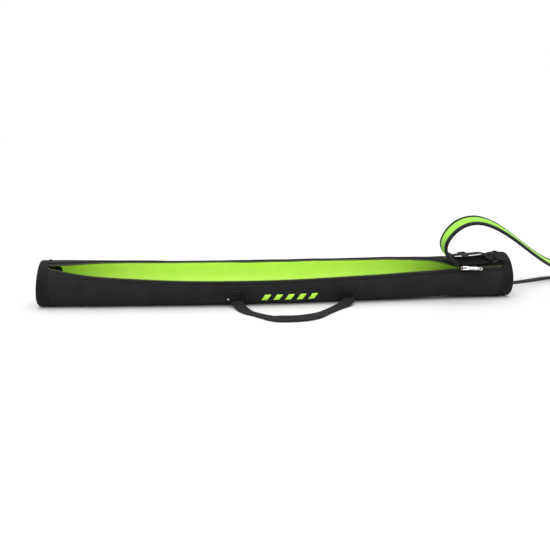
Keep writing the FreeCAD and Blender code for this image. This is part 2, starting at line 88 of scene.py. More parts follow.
def spline(marks, values):
    """A natural cubic spline through values at marks."""
    marks, values = np.asarray(marks, float), np.asarray(values, float)
    n = len(marks)
    h = np.diff(marks)
    rows = np.eye(n)
    right = np.zeros(n)
    for i in range(1, n - 1):
        rows[i, i - 1:i + 2] = h[i - 1], 2 * (h[i - 1] + h[i]), h[i]
        right[i] = 6 * ((values[i + 1] - values[i]) / h[i] - (values[i] - values[i - 1]) / h[i - 1])
    bend = np.linalg.solve(rows, right)

    def value(x):
        i = np.clip(np.searchsorted(marks, x) - 1, 0, n - 2)
        a, b = marks[i + 1] - x, x - marks[i]
        return ((bend[i] * a**3 + bend[i + 1] * b**3) / (6 * h[i])
                + (values[i] / h[i] - bend[i] * h[i] / 6) * a
                + (values[i + 1] / h[i] - bend[i + 1] * h[i] / 6) * b)

    return value


def spread(route, across, count, taut=True):
    """count places evenly along a smooth line through route, with the width direction and normal there.

    A taut line stays close to its points; otherwise it is a freely bending spline.
    """
    route = np.array(route, float)
    across = unit(np.array(across, float))
    marks = np.concatenate([[0], np.cumsum(np.linalg.norm(np.diff(route, axis=0), axis=1))])
    lines = [table(list(zip(marks, route[:, k]))) if taut else spline(marks, route[:, k]) for k in range(3)]
    turns = [table(list(zip(marks, across[:, k]))) for k in range(3)]
    fine = np.linspace(0, marks[-1], 20 * len(route))
    dense = np.stack([line(fine) for line in lines], 1)
    run = np.concatenate([[0], np.cumsum(np.linalg.norm(np.diff(dense, axis=0), axis=1))])
    at = np.interp(np.linspace(0, run[-1], count), run, fine)
    middle = np.stack([line(at) for line in lines], 1)
    travel = unit(np.gradient(middle, axis=0))
    wide = np.stack([turn(at) for turn in turns], 1)
    wide = unit(wide - travel * np.sum(wide * travel, 1, keepdims=True))
    return middle, wide, np.cross(wide, travel), np.linspace(0, run[-1], count)


# ---------------------------------------------------------------- meshes

def make(name, points, faces, material, uv=None, body="bag", stands_for=(), slot=None):
    """A mesh piece from points in mm, riding on a body. uv is one (u, v) in mm per point."""
    mesh = bpy.data.meshes.new(name)
    mesh.from_pydata((np.asarray(points, float).reshape(-1, 3) * MM).tolist(), [], faces)
    mesh.validate()
    if uv is not None:
        layer = mesh.uv_layers.new(name="cloth")
        loops = np.zeros(len(mesh.loops), int)
        mesh.loops.foreach_get("vertex_index", loops)
        layer.data.foreach_set("uv", (np.asarray(uv, float).reshape(-1, 2)[loops] * 0.01).ravel())
    mesh.materials.append(material)
    mesh.polygons.foreach_set("use_smooth", [True] * len(mesh.polygons))
    piece = bpy.data.objects.new(name, mesh)
    bpy.context.scene.collection.objects.link(piece)
    if body:
        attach(piece, body)
    if stands_for:
        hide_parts(*stands_for)
    return piece


def quads(rows, columns, start=0, closed=False, flip=False):
    """Faces of a grid of points, row by row; closed joins the last column to the first."""
    faces = []
    for i in range(rows - 1):
        for j in range(columns if closed else columns - 1):
            k = (j + 1) % columns
            face = [start + i * columns + j, start + i * columns + k,
                    start + (i + 1) * columns + k, start + (i + 1) * columns + j]
            faces.append(face[::-1] if flip else face)
    return faces


def slab(name, outer, inner, material, uv, around=False, **facts):
    """A closed skin between two grids of points; around joins its two long sides."""
    rows, columns = outer.shape[:2]
    count = rows * columns
    faces = quads(rows, columns, 0, around) + quads(rows, columns, count, around, flip=True)
    for j in range(columns if around else columns - 1):
        k = (j + 1) % columns
        last = (rows - 1) * columns
        faces.append([k, j, count + j, count + k])
        faces.append([last + j, last + k, count + last + k, count + last + j])
    if not around:
        for i in range(rows - 1):
            a, b = i * columns, (i + 1) * columns
            faces.append([a, b, count + b, count + a])
            c, d = a + columns - 1, b + columns - 1
            faces.append([d, c, count + c, count + d])
    points = np.concatenate([outer.reshape(-1, 3), inner.reshape(-1, 3)])
    return make(name, points, faces, material, np.concatenate([uv.reshape(-1, 2)] * 2), **facts)


def strip(name, places, profile, material, **facts):
    """A sweep of a closed profile of (across, out) points along places."""
    middle, wide, normal, run = places
    profile = np.array(profile, float)
    points = (middle[:, None] + wide[:, None] * profile[None, :, :1] + normal[:, None] * profile[None, :, 1:])
    rows, columns = points.shape[:2]
    faces = quads(rows, columns, closed=True)
    faces.append(list(range(columns))[::-1])
    faces.append([(rows - 1) * columns + j for j in range(columns)])
    girth = np.concatenate([[0], np.cumsum(np.linalg.norm(np.diff(profile, axis=0), axis=1))])
    uv = np.stack(np.broadcast_arrays(run[:, None], girth[None, :]), -1)
    floor = facts.pop("floor", None)
    if floor is not None:
        points[..., 2] = np.maximum(points[..., 2], floor)
    return make(name, points, faces, material, uv, **facts)


def band(half, thick, crown):
    """Closed profile of webbing: two faces, with rounded edges and a crown on each."""
    out = []
    r = thick / 2
    for side, start in ((1, 90), (-1, -90)):
        for k in range(EDGE_STEPS):
            turn = math.radians(start - 180 * k / (EDGE_STEPS - 1))
            out.append((side * (half - r) + r * math.cos(turn), r * math.sin(turn)))
        for k in range(1, 6):
            s = side * (half - r) * (1 - k / 3)
            bow = crown * (1 - (s / half) ** 2)
            out.append((s, -side * (r + bow)))
    return out


def ring_line(points, wire, sides=8):
    """Points and faces of a round wire that follows a closed or open line of points."""
    points = np.array(points, float)
    closed = np.allclose(points[0], points[-1])
    line = points[:-1] if closed else points
    travel = unit(np.roll(line, -1, 0) - np.roll(line, 1, 0)) if closed else unit(np.gradient(line, axis=0))
    flat = np.cross(travel, np.array([0.31, 0.52, 0.79]))
    side = unit(flat)
    other = np.cross(travel, side)
    turn = np.linspace(0, 2 * math.pi, sides, endpoint=False)
    loops = line[:, None] + wire * (side[:, None] * np.cos(turn)[None, :, None]
                                    + other[:, None] * np.sin(turn)[None, :, None])
    rows = len(line)
    faces = quads(rows, sides, closed=True)
    if closed:
        for j in range(sides):
            k = (j + 1) % sides
            faces.append([(rows - 1) * sides + j, (rows - 1) * sides + k, k, j])
    else:
        faces += [list(range(sides))[::-1], [(rows - 1) * sides + j for j in range(sides)]]
    return loops.reshape(-1, 3), faces


def grains(name, spots, size, material, **facts):
    """Many small bevelled bars in one mesh. spots are (place, along, out); size is long, wide, high."""
    long, wide, high = (s / 2 for s in size)
    shape = np.array([(x, y, z) for x, k in ((-1, 0.55), (-0.6, 1), (0.6, 1), (1, 0.55))
                      for y, z in ((-k, -k), (k, -k), (k, k * 0.7), (0, k), (-k, k * 0.7))], float)
    shape *= (long, wide, high)
    faces_one = quads(4, 5, closed=True) + [[4, 3, 2, 1, 0], [15, 16, 17, 18, 19]]
    points, faces = [], []
    for n, (place, along, out) in enumerate(spots):
        along = unit(np.asarray(along, float))
        out = np.asarray(out, float)
        out = unit(out - along * np.dot(out, along))
        side = np.cross(out, along)
        points.append(np.asarray(place) + shape @ np.stack([along, side, out]))
        faces += [[i + 20 * n for i in face] for face in faces_one]
    return make(name, np.concatenate(points), faces, material, **facts)


# ---------------------------------------------------------------- materials

def link(tree, start, end):
    tree.links.new(start, end)


def math_node(tree, kind, a, b=None):
    node = tree.nodes.new("ShaderNodeMath")
    node.operation = kind
    for socket, value in zip(node.inputs, (a, b)):
        if value is None:
            continue
        if isinstance(value, (int, float)):
            socket.default_value = value
        else:
            link(tree, value, socket)
    return node.outputs[0]


def blank(name, rough, specular, metallic=0.0, sheen=0.0):
    material = bpy.data.materials.new(name)
    material.use_nodes = True
    shader = material.node_tree.nodes["Principled BSDF"]
    shader.inputs["Roughness"].default_value = rough
    shader.inputs["Specular IOR Level"].default_value = specular
    shader.inputs["Metallic"].default_value = metallic
    shader.inputs["Sheen Weight"].default_value = sheen
    shader.inputs["Sheen Roughness"].default_value = 0.5
    return material, material.node_tree, shader


def blotches(tree, scale, detail=3.0):
    """Soft noise between 0 and 1 in the piece's own space."""
    place = tree.nodes.new("ShaderNodeTexCoord")
    cloud = tree.nodes.new("ShaderNodeTexNoise")
    cloud.inputs["Scale"].default_value = scale
    cloud.inputs["Detail"].default_value = detail
    link(tree, place.outputs["Object"], cloud.inputs["Vector"])
    spread_out = tree.nodes.new("ShaderNodeMapRange")
    spread_out.inputs["From Min"].default_value = 0.35
    spread_out.inputs["From Max"].default_value = 0.65
    link(tree, cloud.outputs["Fac"], spread_out.inputs["Value"])
    return spread_out.outputs["Result"]


def mix_colour(tree, fac, first, second):
    mix = tree.nodes.new("ShaderNodeMix")
    mix.data_type = "RGBA"
    link(tree, fac, mix.inputs["Factor"])
    for socket, value in ((mix.inputs["A"], first), (mix.inputs["B"], second)):
        if isinstance(value, tuple):
            socket.default_value = (*value, 1)
        else:
            link(tree, value, socket)
    return mix.outputs["Result"]


def bump(tree, shader, height, depth, strength):
    node = tree.nodes.new("ShaderNodeBump")
    node.inputs["Distance"].default_value = depth
    node.inputs["Strength"].default_value = strength
    link(tree, height, node.inputs["Height"])
    link(tree, node.outputs["Normal"], shader.inputs["Normal"])


def weave(name, dark, light, pitch, rough=0.8, specular=0.15, sheen=0.0, strength=0.6, ribs=False):
    """Cloth whose yarns cross at the given pitch in mm; ribs gives webbing's slanting ribs."""
    material, tree, shader = blank(name, rough, specular, sheen=sheen)
    place = tree.nodes.new("ShaderNodeUVMap")
    split = tree.nodes.new("ShaderNodeSeparateXYZ")
    link(tree, place.outputs["UV"], split.inputs["Vector"])
    rate = 2 * math.pi * 100 / pitch
    u = math_node(tree, "MULTIPLY", split.outputs["X"], rate)
    v = math_node(tree, "MULTIPLY", split.outputs["Y"], rate)
    if ribs:
        slant = math_node(tree, "SINE", math_node(tree, "MULTIPLY", v, 0.23))
        warp = math_node(tree, "SINE", math_node(tree, "ADD", u, math_node(tree, "MULTIPLY", slant, 2.4)))
        weft = math_node(tree, "SINE", math_node(tree, "MULTIPLY", v, 0.7))
    else:
        warp = math_node(tree, "SINE", u)
        weft = math_node(tree, "SINE", v)
    crossing = math_node(tree, "MULTIPLY", warp, weft)
    height = math_node(tree, "MULTIPLY_ADD", crossing, 0.5)
    height.node.inputs[2].default_value = 0.5
    stain = blotches(tree, 28.0)
    fac = math_node(tree, "ADD", math_node(tree, "MULTIPLY", height, 0.6),
                    math_node(tree, "MULTIPLY", stain, 0.4))
    link(tree, mix_colour(tree, fac, dark, light), shader.inputs["Base Color"])
    bump(tree, shader, height, pitch * 0.00035, strength)
    return material


def metal(name, colour, rough, scratch):
    material, tree, shader = blank(name, rough, 0.5, metallic=1.0)
    wear = blotches(tree, scratch, detail=6.0)
    darker = tuple(c * 0.72 for c in colour)
    link(tree, mix_colour(tree, wear, darker, colour), shader.inputs["Base Color"])
    rough_range = tree.nodes.new("ShaderNodeMapRange")
    rough_range.inputs["To Min"].default_value = rough * 0.7
    rough_range.inputs["To Max"].default_value = rough * 1.4
    link(tree, wear, rough_range.inputs["Value"])
    link(tree, rough_range.outputs["Result"], shader.inputs["Roughness"])
    bump(tree, shader, wear, 0.00005, 0.4)
    return material


def moulded(name, colour, rough, grain):
    material, tree, shader = blank(name, rough, 0.35)
    speck = blotches(tree, grain, detail=4.0)
    lighter = tuple(min(1, c * 1.5 + 0.004) for c in colour)
    link(tree, mix_colour(tree, speck, colour, lighter), shader.inputs["Base Color"])
    bump(tree, shader, speck, 0.00008, 0.5)
    return material


SHELL = weave("shell_weave", (0.0075, 0.0075, 0.0085), (0.017, 0.017, 0.018), 0.9, 0.85, 0.10, 0.03)
# End caps and handle patches: a darker copy of the shell cloth, painted shade for the ends and round the
# patches.
SHADED_CAP_CLOTH = weave("cap_weave_painted_shade", (0.0045, 0.0045, 0.005), (0.0105, 0.0105, 0.011), 0.9, 0.85, 0.10, 0.03)
# Lining: base colour lifted well above the strap face's lime, painted light that makes up for the shade inside
# the tube.
LIFTED_LINING = weave("lining_weave_painted_light", (0.66, 0.91, 0.20), (0.76, 0.96, 0.27), 0.6, 0.7, 0.12, 0.05, 0.35)
PAD_FACE = weave("strap_face_weave", (0.18, 0.42, 0.035), (0.27, 0.58, 0.06), 1.2, 0.75, 0.12, 0.05, 0.6)
WEBBING = weave("webbing_weave", (0.0035, 0.0035, 0.004), (0.0115, 0.0115, 0.012), 1.5, 0.8, 0.14, 0.03, 0.8,
                ribs=True)
BINDING = weave("binding_weave", (0.0045, 0.0045, 0.005), (0.012, 0.012, 0.013), 0.8, 0.8, 0.14, 0.03, 0.7)
TAPE = weave("tape_weave", (0.005, 0.005, 0.006), (0.013, 0.013, 0.014), 0.7, 0.8, 0.12, 0.02, 0.7, ribs=True)
THREAD = moulded("thread", (0.016, 0.016, 0.017), 0.6, 900)
FOAM = moulded("foam", (0.50, 0.50, 0.47), 0.95, 700)
# Zip coil: lighter and olive, partly its own tone with lime thread through it and partly a painted glint.
COIL_AND_GLINT = moulded("coil_nylon_painted_glint", (0.026, 0.030, 0.014), 0.35, 500)
BUCKLE = moulded("buckle_nylon", (0.010, 0.010, 0.011), 0.42, 420)
RING = moulded("ring_paint", (0.010, 0.010, 0.010), 0.30, 300)
INK = moulded("print_ink", (0.42, 0.84, 0.05), 0.55, 250)
NICKEL = metal("satin_nickel", (0.17, 0.15, 0.13), 0.34, 240)
EYELET = metal("eyelet_nickel", (0.60, 0.59, 0.56), 0.30, 240)
POLISHED = metal("polished_nickel", (0.50, 0.50, 0.49), 0.24, 160)


# ---------------------------------------------------------------- the bag's shape

# Along the bag: how far its axis bows back, how much narrower it is, how far its slack cloth
# settles, the hollow on top under the strap's foot, and how far the axis rises.
BOW = table([(-525, 12), (-440, 5), (-320, -1), (-200, -6), (0, -8), (160, -3), (320, -1), (400, 3), (460, 9),
             (525, 13)])
PINCH = table([(-525, 0), (-440, 0.3), (-200, 0.6), (0, 1), (160, 2), (250, 2.6), (320, 4.6), (365, 5.2),
               (405, 3.4), (440, 1.5), (480, -0.5), (525, 0)])
SETTLE = table([(-525, 0), (-440, 0), (-240, 2.2), (0, 2.4), (200, 1.2), (330, 0), (525, 0)])
DENT = table([(-525, 0), (345, 0), (374, 0), (400, 4), (412, 7.5), (440, 7), (466, 6.5), (480, 3.5), (492, 0),
              (525, 0)])
LIFT = table([(-525, 0.4), (300, 0), (420, 0.5), (525, 1.2)])
# The two lips of the opening: their turn in degrees along the bag.
NEAR_LIP = table([(-505, 50), (-430, 32), (-300, 21), (-80, 15.5), (200, 21.5), (405, 31), (505, 31)])
FAR_LIP = table([(-505, 57), (-450, 62), (-390, 71), (-280, 75.5), (0, 75.5), (150, 75), (270, 69), (350, 58),
                 (405, 32), (415, 31), (505, 31)])
MM_TURN = 180 / math.pi / TUBE      # degrees of turn for 1 mm along the skin


def ripple(x, turn):
    """Small folds and dents of the slack cloth, in mm."""
    x, turn = np.broadcast_arrays(np.asarray(x, float), np.asarray(turn, float))
    out = np.empty(x.shape)
    for index in np.ndindex(x.shape):
        a = x[index]
        b = math.radians(turn[index])
        ring = (math.cos(b) * 1.3, math.sin(b) * 1.3)
        out[index] = (0.9 * noise.noise(Vector((a / 75, *ring)))
                      + 0.35 * noise.noise(Vector((a / 26, ring[0] * 2, ring[1] * 2 + 9))))
    return out


def skin(x, turn, depth=0.0, folds=None):
    """Points of the bag's skin, in mm: turn goes from the front (0) over the top (90) to the back."""
    x, turn, depth = np.broadcast_arrays(*(np.asarray(v, float) for v in (x, turn, depth)))
    t = np.radians(turn)
    at_slider = np.exp(-(((turn + 148) % 360 - 180) / 26) ** 2 - ((x - 420) / 60) ** 2)
    on_top = np.exp(-(((turn + 85) % 360 - 180) / 34) ** 2)
    radius = TUBE - PINCH(x) * (1 - 0.75 * at_slider) - DENT(x) * on_top - depth
    if folds is not None:
        radius = radius + folds
    settle = SETTLE(x)
    top = np.where(np.sin(t) > 0, settle * 1.15, 0) * np.sin(t) ** 2
    y = BOW(x) - (radius + 1.1 * settle) * np.cos(t)
    z = AXIS + LIFT(x) + (radius - top) * np.sin(t) - 0.9 * settle * np.cos(t) ** 2
    over = z - depth
    z = depth + 0.5 * (over + np.sqrt(over * over + 1.4))
    return np.stack([x, y, z], -1)


def out_of(x, turn):
    """The way out of the skin."""
    step = 0.5
    a = skin(x, turn + step) - skin(x, turn - step)
    b = skin(np.asarray(x, float) + step, turn) - skin(np.asarray(x, float) - step, turn)
    return unit(np.cross(a, b)) * -1


def spaced(near_edge, count):
    """Fractions from 0 to 1, closer together at both ends; near_edge is each end's share."""
    ends = np.linspace(0, near_edge, 7)
    return np.concatenate([ends, np.linspace(near_edge, 1 - near_edge, count)[1:-1], 1 - ends[::-1]])


STATIONS = np.concatenate([np.linspace(-SEAM, 380, 200), np.linspace(380, 420, 21)[1:],
                           np.linspace(420, SEAM, 26)[1:]])


def tube_layer(name, outer, inner, edge, material, hem=0.0, tuck=0.0, **facts):
    """One skin of the tube, from the near lip down round the bottom to the far lip.

    edge is how far its hems stay from the lips, in mm; hem raises the last 4 mm, and tuck brings
    a hem that far out towards the zip tape.
    """
    share = spaced(HEM_SHARE, 110)
    first = NEAR_LIP(STATIONS) - edge * MM_TURN
    last = FAR_LIP(STATIONS) + edge * MM_TURN - 360
    turn = first[:, None] + (last - first)[:, None] * share[None, :]
    from_edge = np.minimum(first[:, None] - turn, turn - last[:, None]) / MM_TURN
    fade = np.clip(from_edge / 4, 0, 1)
    lift = hem * (1 - fade * fade * (3 - 2 * fade))
    inward = np.clip(1 - from_edge / 12, 0, 1)
    shift = tuck * inward * inward
    x = np.broadcast_to(STATIONS[:, None], turn.shape)
    folds = FOLD_TABLE(x, turn)
    outside = skin(x, turn, outer - lift - shift, folds)
    inside = skin(x, turn, inner - shift, folds)
    uv = np.stack([x, turn / MM_TURN], -1)
    return slab(name, outside, inside, material, uv, **facts)


def fold_lookup():
    """The folds on a fixed grid, so that every layer has the same ones."""
    xs = np.linspace(-SEAM, SEAM, 160)
    turns = np.linspace(-300, 100, 100)
    grid_values = ripple(xs[:, None], turns[None, :])
    fade = np.clip((SEAM - np.abs(xs)) / 30, 0, 1)[:, None]
    grid_values = grid_values * fade

    def value(x, turn):
        i = np.clip((x + SEAM) / (2 * SEAM) * 159, 0, 158.999)
        j = np.clip((turn + 300) / 400 * 99, 0, 98.999)
        a, b = i.astype(int), j.astype(int)
        s, t = i - a, j - b
        return ((grid_values[a, b] * (1 - s) + grid_values[a + 1, b] * s) * (1 - t)
                + (grid_values[a, b + 1] * (1 - s) + grid_values[a + 1, b + 1] * s) * t)

    return value


FOLD_TABLE = fold_lookup()

tube_layer("bag_shell", *CLOTH_LAYER, 10.0, SHELL, hem=0.7, stands_for=["outer_shell"], slot="shell_fabric")
foam = tube_layer("bag_padding", *FOAM_LAYER, 17.0, FOAM, stands_for=["foam_padding"], slot="foam")
# the lining's lifted colour is painted light inside the tube
tube_layer("bag_lining", *LINING_LAYER, 6.0, LIFTED_LINING, tuck=2.2, stands_for=["lining"], slot="lining_fabric")


# ---------------------------------------------------------------- end caps

CAP_END = {"left": 531, "right": 532.5}         # mm from the middle to each outside end
CAP_LEAN = {"left": 6, "right": 5}              # mm that the end leans in over LEAN_HEIGHT
CAP_FORWARD = {"left": -1.2, "right": -3.5}     # the most that its lower part leans out
LEAN_FROM, LEAN_HEIGHT = 35, 65
CAP_ROUNDING = 4.5
CAP_DOME = 2.0


def cap_layer(side, outer, inner, material, name, node, slot):
    """One skin of an end cap: a short band, a rounded edge and a slightly domed end that leans."""
    away = 1 if side == "right" else -1
    turn = np.linspace(0, 360, 96, endpoint=False)
    grids = []
    for depth in (outer, inner):
        radius = max(CAP_ROUNDING - depth, 0.6)
        edge = CAP_END[side] - depth - radius
        rings = [skin(away * x, turn, depth) for x in np.linspace(SEAM + 0.3, edge, 6)]
        for k in range(1, 8):
            a = math.pi / 2 * k / 7
            ring = skin(away * edge, turn, depth + radius * (1 - math.cos(a)))
            ring[:, 0] = away * (edge + radius * math.sin(a))
            rings.append(ring)
        rim = rings[-1]
        centre = rim.mean(0)
        for f in (0.97, 0.9, 0.78, 0.6, 0.4, 0.2, 0.02):
            ring = centre + (rim - centre) * f
            ring[:, 0] += away * CAP_DOME * (1 - f * f)
            rings.append(ring)
        grid = np.array(rings)
        share = (np.abs(grid[..., 0]) - SEAM) / (END - SEAM)
        lean = CAP_LEAN[side] * (grid[..., 2] - LEAN_FROM) / LEAN_HEIGHT
        grid[..., 0] -= away * np.clip(share, 0, 1) * np.clip(lean, CAP_FORWARD[side], None)
        grids.append(grid)
    rows = len(grids[0])
    uv = np.stack(np.broadcast_arrays(turn[None, :] / MM_TURN, np.arange(rows)[:, None] * 3.0), -1)
    return slab(name, grids[0], grids[1], material, uv, around=True, stands_for=[node], slot=slot)


for side in ("left", "right"):
    # the caps' darker cloth is painted shade
    cap_layer(side, *CLOTH_LAYER, SHADED_CAP_CLOTH, "cap_cloth_" + side, "cap_shell_" + side, "shell_fabric")
    pad = cap_layer(side, *FOAM_LAYER, FOAM, "cap_padding_" + side, "cap_foam_" + side, "foam")
    # the same lifted lining colour, painted light inside the cap
    cap_layer(side, *LINING_LAYER, LIFTED_LINING, "cap_inside_" + side, "cap_lining_" + side, "lining_fabric")
    away = 1 if side == "right" else -1
    turn = np.linspace(0, 360, 121)
    bead = skin(away * SEAM, turn, -0.5)
    points, faces = ring_line(bead, 1.5, 8)
    points[:, 2] = np.maximum(points[:, 2], 0.1)
    along = np.repeat(turn[:-1] / MM_TURN, 8)
    around = np.tile(np.arange(8) * 1.2, 120)
    make("piping_" + side, points, faces, BINDING, np.stack([along, around], -1),
         stands_for=["cap_piping_" + side], slot="piping_fabric")
    spots = []
    for row in (-4.5, 4.5):
        for a in np.arange(0, 360, 3.9):
            x = away * SEAM + row
            here, there = skin(x, a, -0.15), skin(x, a + 1.5, -0.15)
            if here[2] > 1.5:
                spots.append((here, there - here, out_of(x, a)))
    grains("cap_stitches_" + side, spots, (2.6, 0.55, 0.5), THREAD, slot="piping_fabric")


# ---------------------------------------------------------------- zip

OUTER_SEAM, INNER_SEAM = 12.2, 6.0      # mm from the lip to the tape's two rows of stitches
TOOTH_PITCH, TOOTH_DEPTH = 1.5, 0.5


def lip_line(lip, x, shift, depth):
    """A line that follows a lip, shift mm along the skin from it."""
    turn = lip(x) + shift * MM_TURN
    return skin(x, turn, depth, FOLD_TABLE(x, np.where(turn > 100, turn - 360, turn)))


for side, lip, sign in (("front", NEAR_LIP, -1), ("back", FAR_LIP, 1)):
    rows = STATIONS
    offsets = np.linspace(0.3, 18, 9)
    outside = np.stack([lip_line(lip, rows, sign * s, 0.75 if s < 10 else 1.35) for s in offsets], 1)
    inside = np.stack([lip_line(lip, rows, sign * s, 1.35 if s < 10 else 1.95) for s in offsets], 1)
    uv = np.stack(np.broadcast_arrays(rows[:, None], offsets[None, :]), -1)
    slab("zip_tape_cloth_" + side, outside, inside, TAPE, uv, stands_for=["zip_tape_" + side],
         slot="tape_fabric")
    spots = []
    first = 0.0 if sign < 0 else TOOTH_PITCH / 2
    for x in np.arange(-502 + first, 503, TOOTH_PITCH):
        here = lip_line(lip, x, sign * 0.4, TOOTH_DEPTH)
        there = lip_line(lip, x, sign * 2.4, TOOTH_DEPTH)
        spots.append(((here + there) / 2, there - here, out_of(x, lip(x))))
    # the coil's lighter olive colour is partly a painted glint
    grains("zip_teeth_" + side, spots, (3.8, 1.05, 2.0), COIL_AND_GLINT, stands_for=["zip_coil_" + side],
           slot="coil_plastic")
    spots = []
    for x in np.arange(-500, 500, 3.4):
        here = lip_line(lip, x, sign * OUTER_SEAM, -0.55)
        there = lip_line(lip, x + AHEAD, sign * OUTER_SEAM, -0.55)
        spots.append((here, there - here, out_of(x, lip(x) + sign * OUTER_SEAM * MM_TURN)))
    for x in np.arange(-500, 500, 3.1):
        here = lip_line(lip, x, sign * INNER_SEAM, 0.6)
        there = lip_line(lip, x + AHEAD, sign * INNER_SEAM, 0.6)
        spots.append((here, there - here, out_of(x, lip(x) + sign * INNER_SEAM * MM_TURN)))
    grains("zip_stitches_" + side, spots, STITCH, THREAD, slot="tape_fabric")

spots = []
for x, lip, sign in ((-501, NEAR_LIP, -1), (-501, FAR_LIP, 1), (492, NEAR_LIP, 0)):
    spots.append((lip_line(lip, x, sign * 1.6, -0.6), (1, 0, 0), out_of(x, lip(x))))
grains("zip_end_stops", spots, (3.6, 3.6, 2.0), RING, stands_for=["zip_stops"], slot="stop_metal")


# ---------------------------------------------------------------- slider and pull

def plate(name, outline, thick, place, material, holes=(), bevel=0.35, **facts):
    """A flat plate with softened edges: outline in mm in its own plane, laid at a 4x4 place."""
    work = bmesh.new()
    edges = []
    for loop in (outline, *holes):
        ring = [work.verts.new((x, y, 0)) for x, y in loop]
        edges += [work.edges.new((ring[i], ring[(i + 1) % len(ring)])) for i in range(len(ring))]
    if holes:
        bmesh.ops.triangle_fill(work, use_beauty=True, edges=edges)
    else:
        work.faces.new(ring)
    bmesh.ops.recalc_face_normals(work, faces=work.faces)
    pushed = bmesh.ops.extrude_face_region(work, geom=list(work.faces))
    moved = [v for v in pushed["geom"] if isinstance(v, bmesh.types.BMVert)]
    bmesh.ops.translate(work, verts=moved, vec=(0, 0, thick))
    bmesh.ops.recalc_face_normals(work, faces=work.faces)
    rim = [e for e in work.edges if len(e.link_faces) == 2 and e.calc_face_angle(0) > 0.6]
    bmesh.ops.bevel(work, geom=rim, offset=bevel, segments=2, profile=0.5, affect="EDGES")
    work.transform(place)
    work.verts.ensure_lookup_table()
    points = [tuple(v.co) for v in work.verts]
    faces = [[v.index for v in f.verts] for f in work.faces]
    work.free()
    return make(name, points, faces, material, **facts)


ZIP_TURN = 40 + math.degrees(math.asin(-9 / TUBE))
SLIDER_X = 409.0


def on_tube(x, off):
    """A 4x4 place on the CAD tube at the zip's line: x along the bag, z outwards."""
    t = math.radians(ZIP_TURN)
    out = Vector((0, -math.cos(t), math.sin(t)))
    up = Vector((0, math.sin(t), math.cos(t)))
    at = Vector((x, 0, AXIS)) + out * (TUBE + off)
    return Matrix(((1, 0, 0, at.x), (0, up.y, out.y, at.y), (0, up.z, out.z, at.z), (0, 0, 0, 1)))


def mirrored(half, tip=()):
    """A closed outline from its lower half, with any tip between the halves."""
    return [*half, *tip, *((x, -y) for x, y in half[::-1])]


body_line = mirrored([(-6.5, -4.2), (-5.2, -5), (1.5, -5), (5, -3.6), (6.5, -2.4)])
plate("slider_plate", body_line, 2.2, on_tube(SLIDER_X, 0.4), NICKEL, bevel=0.5, body="zip_slider",
      stands_for=["slider_body"], slot="slider_metal")
arch = [(-4.4, 0), (-4.2, 1.6), (-3.2, 2.7), (-1.2, 3.1), (1.2, 3.1), (3.2, 2.7), (4.2, 1.6), (4.4, 0)]
place = on_tube(SLIDER_X, 2.6)
line = [place @ Vector((x, 0, z - 0.3)) for x, z in arch]
points, faces = ring_line(line, 0.75, 8)
make("slider_arch", points, faces, NICKEL, body="zip_slider", stands_for=["slider_bridge"],
     slot="slider_metal")

pull_line = mirrored([(-2.2, -4.1), (-1.6, -4.5), (9, -4.5), (13, -3.6), (28, -4.3), (32, -3.1), (34.5, -3),
                      (37, -3.9), (40.5, -3.4), (43, -1.4)], tip=[(43.6, 0)])
window = [(-0.6, -1.6), (6.2, -1.6), (6.6, -1.2), (6.6, 1.2), (6.2, 1.6), (-0.6, 1.6)]
EYE_AT = 38.0
around = np.linspace(0, 2 * math.pi, 17)[:-1]
eye = [(EYE_AT + 2.2 * math.cos(a), 2.2 * math.sin(a)) for a in around]
hang = on_tube(SLIDER_X, 3.05) @ Matrix.Rotation(math.radians(-3.5), 4, "Z")
plate("pull_plate", pull_line, 1.4, hang, POLISHED, holes=[window, eye], bevel=0.3, body="zip_pull",
      stands_for=["pull_tab"], slot="pull_metal")
for level, name in ((1.45, "pull_rim_top"), (-0.05, "pull_rim_under")):
    rim = [hang @ Vector((EYE_AT + 2.6 * math.cos(a), 2.6 * math.sin(a), level))
           for a in np.linspace(0, 2 * math.pi, 21)]
    points, faces = ring_line(rim, 0.4, 8)
    make(name, points, faces, EYELET, body="zip_pull", slot="pull_metal")


# ---------------------------------------------------------------- carry handle

def on_front(x, turn, off):
    """A place off mm outside the skin."""
    return skin(x, turn, -off)


PATCH_SPAN = (-44.0, -7.0)      # turn of a patch's lower and upper edge
PATCH_HALF = 19                 # half its width in mm
# the webbing's outer and inner edge, from the left patch over the floor to the right one
EDGES = [
    (on_front(-122, -13, 1.3), on_front(-98, -13, 1.3)),
    (on_front(-119, -26, 1.4), on_front(-96, -26, 1.4)),
    (on_front(-114, -40, 1.8), on_front(-92, -38, 1.8)),
    ((-108, -66, 9), (-89.5, -55, 15)),
    ((-104, -75, 5), (-88, -60, 11)),
    ((-99, -92, 2), (-82, -75, 6.5)),
    ((-90, -115, 2), (-71, -100, 3)),
    ((-72, -138, 2), (-52, -123, 2)),
    ((-57, -159, 2), (-36, -145, 3.5)),
    ((-43, -178, 2), (-24, -163, 6.5)),
    ((-28, -190, 2), (-18, -168, 8.5)),
    ((-5, -194, 2), (-3, -170, 8.5)),
    ((19, -193, 2), (16, -169, 8.5)),
    ((41, -187, 2), (31, -165, 8.5)),
    ((64, -172, 2), (47, -155, 7.5)),
    ((89, -140, 2), (70, -124, 3.5)),
    ((108, -116, 2), (88, -101, 3)),
    ((126, -94, 2), (106, -80, 4)),
    ((143, -76, 3.5), (123, -65, 8)),
    ((155, -66, 8), (131.5, -57, 14)),
    (on_front(162, -40, 1.8), on_front(137, -40, 1.8)),
    (on_front(162, -27, 1.4), on_front(137, -27, 1.4)),
    (on_front(162, -13, 1.3), on_front(137, -13, 1.3)),
]
outer_edge = np.array([np.asarray(a, float) for a, b in EDGES])
inner_edge = np.array([np.asarray(b, float) for a, b in EDGES])
